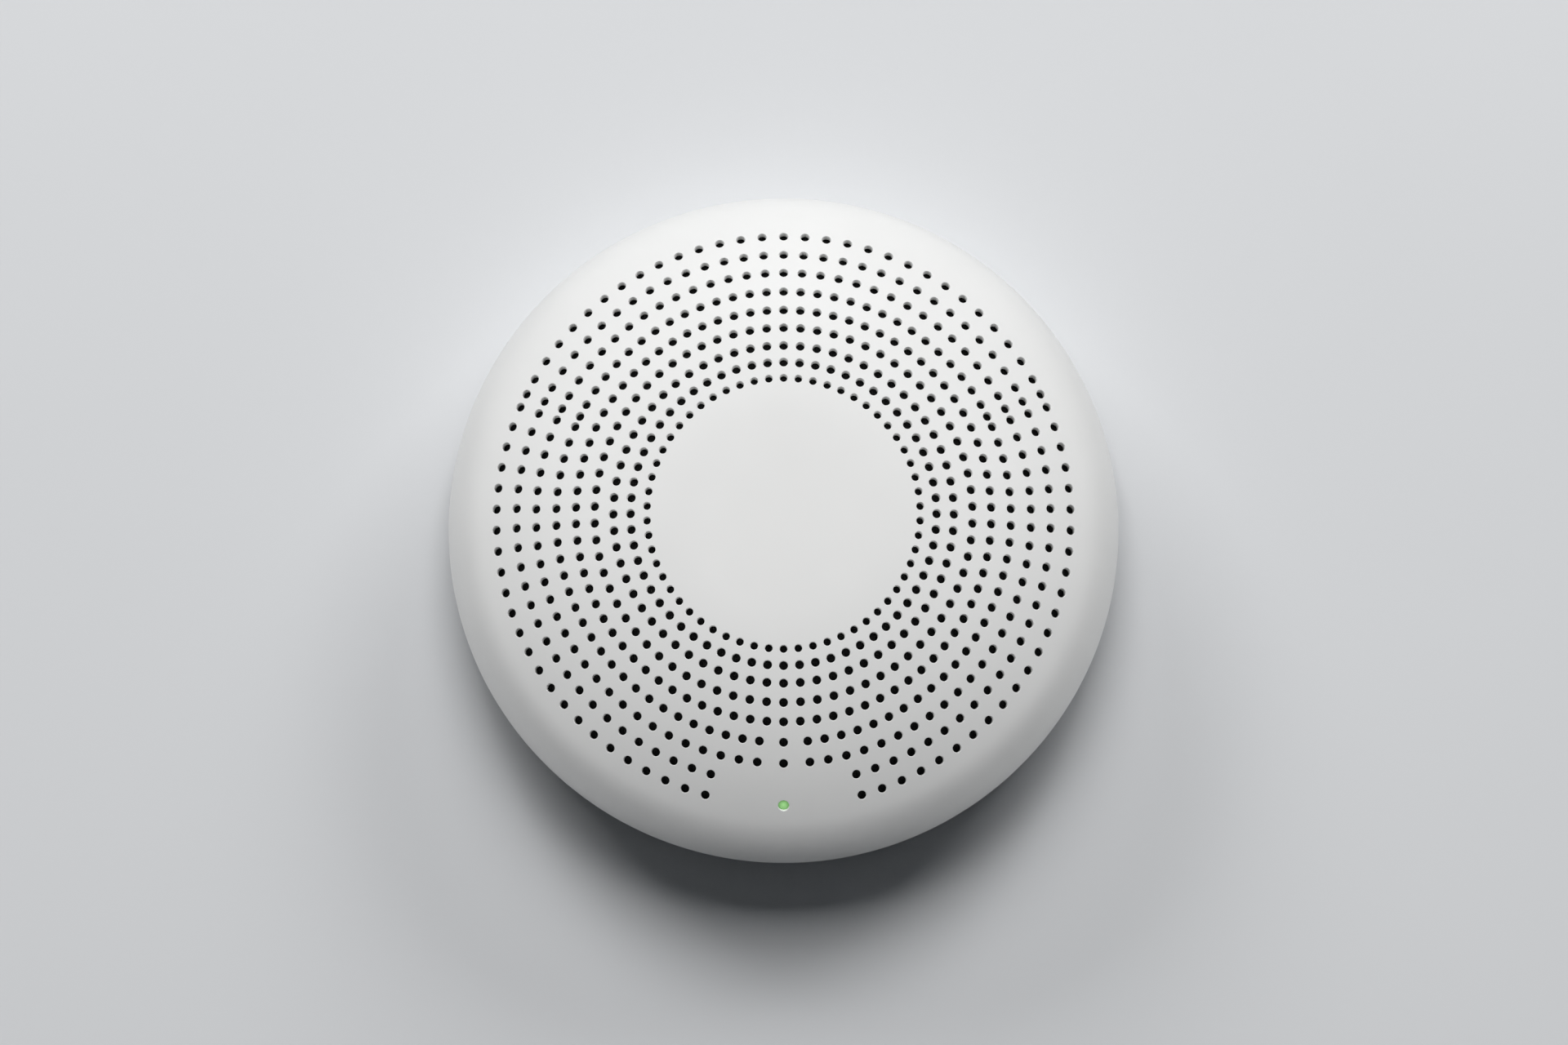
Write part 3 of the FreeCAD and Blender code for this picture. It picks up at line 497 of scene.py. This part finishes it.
def spin_section(name, points, degrees=FULL_TURN, start=0.0, steps=TURN_STEPS, closed=False):
    """Extrudes a chain of vertices along the points and spins it about the alarm's axis."""
    clear_selection()
    bpy.ops.mesh.primitive_plane_add(size=MM)
    piece = bpy.context.object
    piece.name = name
    bpy.ops.object.mode_set(mode="EDIT")
    bpy.ops.mesh.merge(type="CENTER")
    first = Vector((points[0][0], 0, points[0][1])) * MM
    bpy.ops.transform.translate(value=first)
    chain = points[1:] + points[:1] if closed else points[1:]
    here = first
    for r, z in chain:
        there = Vector((r, 0, z)) * MM
        bpy.ops.mesh.extrude_region_move(TRANSFORM_OT_translate={"value": there - here})
        here = there
    bpy.ops.mesh.select_all(action="SELECT")
    bpy.ops.mesh.remove_doubles(threshold=MERGE_DISTANCE)
    if start:
        bpy.ops.transform.rotate(value=-math.radians(start), orient_axis="Z",
                                 center_override=(0, 0, 0))
    if closed:
        bpy.ops.mesh.edge_face_add()
    bpy.ops.mesh.spin(steps=steps, angle=math.radians(degrees), center=(0, 0, 0), axis=(0, 0, 1))
    bpy.ops.mesh.select_all(action="SELECT")
    bpy.ops.mesh.remove_doubles(threshold=MERGE_DISTANCE)
    bpy.ops.mesh.normals_make_consistent(inside=False)
    bpy.ops.object.mode_set(mode="OBJECT")
    return piece


cover = spin_section("cover", cover_section())
print("cover wall", len(cover.data.polygons), "faces")

# %% [markdown]
# ## A surface to borrow shading from
# Cutting hundreds of holes leaves long thin faces, and smooth shading over those looks
# dented. An uncut copy of the wall is kept, and the finished cover borrows its normals.

# %% An uncut copy
SMOOTH_ANGLE = math.radians(40)
only(cover)
bpy.ops.object.duplicate()
uncut = bpy.context.object
uncut.name = "uncut_wall"
only(uncut)
bpy.ops.object.shade_smooth_by_angle(angle=SMOOTH_ANGLE)

# %% [markdown]
# ## One cutter
# A moulded hole has a lip that is rounded by about a tenth of a millimetre, and it catches
# the light as a thin crescent. The cutter has the same shape turned outwards: a round bar
# whose top is flared twice, by extruding and widening the top face of a cylinder.
# The holes aren't square to the dome. Pins in the mould form them, and the cover has to slip
# off those pins, so they lean outwards much less than the dome slopes. The bar's top is
# turned by the difference, so that the lip stays even all round.

# %% The hole cutter
HOLE_SIDES = 18
LIP_STEPS = ((0.10, 0.04), (0.07, 0.10))
CUTTER_REACH = 0.5
CUTTER_BELOW = 3.0
LAST_RING_LEAN = math.radians(10)


def hole_lean(radius):
    return LAST_RING_LEAN * radius / FAN_RINGS[-1][0]


def widen_top(factor, height, rise):
    """Extrudes the top face up the bar, widens it in its own plane and gives its height."""
    bpy.ops.mesh.extrude_region_move(TRANSFORM_OT_translate={"value": (0, 0, rise * MM)})
    height += rise
    bpy.ops.transform.resize(value=(factor, factor, factor), center_override=(0, 0, height * MM))
    return height


def hole_cutter(name, diameter, slant=0.0, sides=HOLE_SIDES):
    """A bar along Z whose flared top is turned by the slant, so that it lies along the dome."""
    radius = diameter / 2
    shorter = math.cos(slant)
    top_height = -sum(step[0] for step in LIP_STEPS) / shorter
    length = CUTTER_BELOW + top_height
    clear_selection()
    bpy.ops.mesh.primitive_cylinder_add(vertices=sides, radius=radius * MM, depth=length * MM,
                                        location=(0, 0, (top_height - length / 2) * MM))
    cutter = bpy.context.object
    cutter.name = name
    bpy.ops.object.transform_apply(location=True, rotation=True, scale=True)
    top = max(range(len(cutter.data.polygons)), key=lambda i: cutter.data.polygons[i].center.z)
    bpy.ops.object.mode_set(mode="EDIT")
    bpy.ops.mesh.select_mode(type="FACE")
    bpy.ops.mesh.select_all(action="DESELECT")
    bpy.ops.object.mode_set(mode="OBJECT")
    cutter.data.polygons[top].select = True
    bpy.ops.object.mode_set(mode="EDIT")
    centre = (0, 0, top_height * MM)
    bpy.ops.transform.rotate(value=slant, orient_axis="X", center_override=centre)
    bpy.ops.transform.resize(value=(1, 1 / shorter, 1 / shorter), center_override=centre)
    for rise, wider in LIP_STEPS:
        top_height = widen_top((radius + wider) / radius, top_height, rise / shorter)
        radius += wider
    bpy.ops.mesh.extrude_region_move(TRANSFORM_OT_translate={"value": (0, 0, CUTTER_REACH * MM)})
    bpy.ops.mesh.select_all(action="SELECT")
    bpy.ops.mesh.normals_make_consistent(inside=False)
    bpy.ops.mesh.select_mode(type="VERT")
    bpy.ops.object.mode_set(mode="OBJECT")
    return cutter


light_cutter = hole_cutter("light_cutter", LIGHT_HOLE_DIAMETER, sides=32)
for radius in (EVEN_RINGS[0][0], FAN_RINGS[-1][0]):
    print("at", radius, "mm the dome slopes", round(math.degrees(dome_slope(radius)), 1),
          "degrees and a hole leans", round(math.degrees(hole_lean(radius)), 1))

# %% [markdown]
# ## Nine rings of cutters
# The five inner rings are evenly pitched. In the four outer ones each side is two fans of
# holes, with a single hole in the seam between them, about a third of the way round. The
# last two rings leave a gap at the bottom for the light. A bearing is counted from the top
# of the alarm. Each ring has one cutter of its own, which is copied to every bearing, and
# the light's hole stands square to the dome, because its clear rod does.

# %% Bearings of the holes
def even_angles(count):
    return [number * FULL_TURN / count for number in range(count)]


def fan_angles(lower_steps, lower_end):
    upper = [number * UPPER_FAN_END / UPPER_FAN_STEPS for number in range(1, UPPER_FAN_STEPS + 1)]
    lower_step = (lower_end - LOWER_FAN_START) / lower_steps
    lower = [LOWER_FAN_START + number * lower_step for number in range(lower_steps + 1)]
    side = upper + [SEAM_HOLE] + lower
    closes = HALF_TURN - lower_end < 2 * lower_step
    middle = [0.0, HALF_TURN] if closes else [0.0]
    return middle + side + [-angle for angle in side]


def on_dome(radius, bearing, lean):
    """The place on the dome's face of a cutter that is drawn upright and leans outwards."""
    tip = Matrix.Rotation(-lean, 4, "X")
    out = Matrix.Translation(Vector((0, radius, dome_height(radius))) * MM)
    return Matrix.Rotation(-math.radians(bearing), 4, "Z") @ out @ tip


# %% Copy and join the cutters
def copy_to(piece, place):
    copy = piece.copy()
    copy.data = piece.data.copy()
    copy.data.transform(place)
    bpy.context.scene.collection.objects.link(copy)
    return copy


def ring_of_cutters(radius, diameter, bearings):
    lean = hole_lean(radius)
    tool = hole_cutter(f"cutter_{radius}", diameter, dome_slope(radius) - lean)
    ring = [copy_to(tool, on_dome(radius, bearing, lean)) for bearing in bearings]
    bpy.data.objects.remove(tool)
    return ring


cutters = []
for radius, count in EVEN_RINGS:
    diameter = INNER_HOLE_DIAMETER if radius == EVEN_RINGS[0][0] else HOLE_DIAMETER
    cutters += ring_of_cutters(radius, diameter, even_angles(count))
for radius, lower_steps, lower_end in FAN_RINGS:
    cutters += ring_of_cutters(radius, HOLE_DIAMETER, fan_angles(lower_steps, lower_end))
hole_count = len(cutters)
cutters.append(copy_to(light_cutter, on_dome(light_radius, HALF_TURN, light_slope)))
clear_selection()
for cutter in cutters:
    cutter.select_set(True)
bpy.context.view_layer.objects.active = cutters[0]
bpy.ops.object.join()
all_cutters = bpy.context.object
print(hole_count, "air holes and one for the light")

# %% [markdown]
# ## Cutting
# All the cutters are one mesh by now and none touches another, so a single Boolean takes
# them out of the wall. The manifold solver suits closed shapes like these and is quick.

# %% Cut the holes
cut = cover.modifiers.new("holes", "BOOLEAN")
cut.operation = "DIFFERENCE"
cut.solver = "MANIFOLD"
cut.object = all_cutters
apply_modifier(cover, cut)
for tool in (all_cutters, light_cutter):
    bpy.data.objects.remove(tool)
print("cut cover", len(cover.data.polygons), "faces")

# %% [markdown]
# ## Four snaps
# Inside the skirt, four small ledges catch under the housing's flange. Each is a short
# rectangle, spun through a few degrees and joined to the cover.

# %% Snaps inside the skirt
SNAP_COUNT = 4
SNAP_FIRST = 45.0
SNAP_ARC = 14.0
SNAP_INSIDE = 66.4
SNAP_OUTSIDE = 68.4
SNAP_TOP = 8.7
SNAP_HEIGHT = 1.2
corners = [(SNAP_INSIDE, SNAP_TOP - SNAP_HEIGHT), (SNAP_OUTSIDE, SNAP_TOP - SNAP_HEIGHT),
           (SNAP_OUTSIDE, SNAP_TOP), (SNAP_INSIDE, SNAP_TOP)]
snaps = []
for number in range(SNAP_COUNT):
    start = SNAP_FIRST + number * FULL_TURN / SNAP_COUNT
    snaps.append(spin_section(f"snap_{number}", corners, SNAP_ARC, start, 6, closed=True))

# %% [markdown]
# ## Smooth shading over the holes
# The vertices that lie on the outer face go into a group, and only they take the uncut
# wall's normals. The lips then shade from the dome into the hole, as rounded edges do.

# %% Borrow the uncut wall's normals
ON_FACE = 0.000004
FACES_FRONT = 0.05


def outer_vertices(piece, surface):
    tree = BVHTree.FromObject(surface, bpy.context.evaluated_depsgraph_get())
    found = []
    for vertex in piece.data.vertices:
        spot, normal, index, distance = tree.find_nearest(vertex.co)
        if distance < ON_FACE and normal.z > FACES_FRONT:
            found.append(vertex.index)
    return found


only(cover)
bpy.ops.object.shade_smooth_by_angle(angle=SMOOTH_ANGLE)
face_group = cover.vertex_groups.new(name="outer_face")
face_group.add(outer_vertices(cover, uncut), 1.0, "REPLACE")
borrow = cover.modifiers.new("borrow", "DATA_TRANSFER")
borrow.object = uncut
borrow.use_loop_data = True
borrow.data_types_loops = {"CUSTOM_NORMAL"}
borrow.loop_mapping = "POLYINTERP_NEAREST"
borrow.vertex_group = face_group.name
apply_modifier(cover, borrow)
bpy.data.objects.remove(uncut)
clear_selection()
for snap in snaps:
    snap.select_set(True)
cover.select_set(True)
bpy.context.view_layer.objects.active = cover
bpy.ops.object.join()
cover.data.calc_loop_triangles()
print("cover", len(cover.data.loop_triangles), "triangles")

# %% The cover takes the solid's place
cover.data.materials.clear()
cover.data.materials.append(finishes["cover"])
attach(cover, "alarm")
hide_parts("front_cover")

# %% [markdown]
# ## Floor
# The alarm is shown against a plain pale surface with a touch of blue. It is one large
# square. Its colour wanders by a percent or so, as paint or paper does, and it reaches far
# enough to fill a low side view.

# %% Floor
FLOOR_SIDE = 6.0
FLOOR_COLOUR = (0.775, 0.787, 0.803)
clear_selection()
bpy.ops.mesh.primitive_plane_add(size=FLOOR_SIDE)
floor = bpy.context.object
floor.name = "floor"
bpy.ops.object.mode_set(mode="EDIT")
bpy.ops.mesh.subdivide(number_cuts=3)
bpy.ops.object.mode_set(mode="OBJECT")
floor_paint, floor_tree, floor_shader = new_finish("floor_paint", FLOOR_COLOUR, 0.8, 0.0, 0.2)
drift = noise(floor_tree, object_place(floor_tree), 0.09)
paint(floor_tree, floor_shader, drift, shade_of(FLOOR_COLOUR, 0.99), shade_of(FLOOR_COLOUR, 1.01))
floor.data.materials.append(floor_paint)

# %% [markdown]
# ## Light
# The light is that of a small studio. One broad softbox stands up and in the middle, and
# lights everything. A pair nearer to straight on is flagged off the wall and lifts the
# alarm's lower half. Three more are flagged off the alarm, so only the wall takes them, and
# they draw the long soft shadow underneath. A flag is a black board in a studio. Here it is
# a collection of the things that a lamp may light.

# %% What each lamp may light
alarm_pieces = bpy.data.collections.new("alarm_pieces")
for piece in [cover, *nodes.values()]:
    alarm_pieces.objects.link(piece)
wall_pieces = bpy.data.collections.new("wall_pieces")
wall_pieces.objects.link(floor)

# %% The softboxes
LIGHT_DISTANCE = 2.2
SOFTBOX_WIDTH = 1.3
SOFTBOX_HEIGHT = 0.58
LIGHT_AIM = Vector((0, 0, 0.02))


def softbox(name, lean, aside, power, lights=None):
    """A soft lamp: its lean towards the top in degrees, its place aside in metres and its watts."""
    lamp = bpy.data.lights.new(name, "AREA")
    lamp.shape = "RECTANGLE"
    lamp.size = SOFTBOX_WIDTH
    lamp.size_y = SOFTBOX_HEIGHT
    lamp.energy = power
    light = bpy.data.objects.new(name, lamp)
    bpy.context.scene.collection.objects.link(light)
    turn = math.radians(lean)
    light.location = (aside, LIGHT_DISTANCE * math.sin(turn), LIGHT_DISTANCE * math.cos(turn))
    light.rotation_euler = (LIGHT_AIM - light.location).to_track_quat("-Z", "Y").to_euler()
    light.light_linking.receiver_collection = lights
    return light


softbox("main_lamp", 50, 0.0, 18.6)
softbox("wall_lamp", 35, 0.0, 12.9, wall_pieces)
for side in (-1, 1):
    softbox(f"front_lamp_{side}", 20, 1.6 * side, 29.4, alarm_pieces)
    softbox(f"wall_lamp_{side}", 65, 1.3 * side, 29.4, wall_pieces)

# %% The fill from the world
FILL = 0.035
FILL_COLOUR = (0.86, 0.93, 1.0, 1.0)
BACKGROUND = (0.68, 0.70, 0.73, 1.0)
world = bpy.data.worlds.new("room")
bpy.context.scene.world = world
world.use_nodes = True
room = world.node_tree
room.nodes.clear()
path = room.nodes.new("ShaderNodeLightPath")
seen = Wire(room, path.outputs["Is Camera Ray"]) + Wire(room, path.outputs["Is Glossy Ray"])
seen = seen + Wire(room, path.outputs["Is Transmission Ray"])
fill = add_node(room, "ShaderNodeBackground", None, {"Color": FILL_COLOUR, "Strength": FILL})
backdrop = add_node(room, "ShaderNodeBackground", None, {"Color": BACKGROUND, "Strength": 1.0})
both = room.nodes.new("ShaderNodeMixShader")
seen.into(both.inputs[0])
fill.into(both.inputs[1])
backdrop.into(both.inputs[2])
Wire(room, both.outputs[0]).into(room.nodes.new("ShaderNodeOutputWorld").inputs["Surface"])

# %% [markdown]
# ## Camera
# The photograph looks almost straight at the alarm, from a little below its middle, so the
# side with the light is nearer. A long lens from far away keeps the rings nearly concentric,
# as they are there.

# %% Camera
CAMERA_TILT = math.radians(7.8)
CAMERA_LENS = 400.0
SENSOR_WIDTH = 36.0
IMAGE_WIDTH = 1920
PIXELS_PER_MM = 5.86
CAMERA_AIM = (0.09, 3.1, 0.0)
WIDEST_HEIGHT = 11.0
distance = CAMERA_LENS / SENSOR_WIDTH * IMAGE_WIDTH / PIXELS_PER_MM + WIDEST_HEIGHT
camera_data = bpy.data.cameras.new("camera")
camera_data.lens = CAMERA_LENS
camera_data.sensor_width = SENSOR_WIDTH
camera = bpy.data.objects.new("camera", camera_data)
bpy.context.scene.collection.objects.link(camera)
back_off = Vector((0, -math.sin(CAMERA_TILT), math.cos(CAMERA_TILT))) * distance
camera.location = (Vector(CAMERA_AIM) + back_off) * MM
camera.rotation_euler = (CAMERA_TILT, 0, 0)
bpy.context.scene.camera = camera
bpy.context.scene.view_settings.view_transform = "Standard"
print("camera", round(distance), "mm from the alarm")
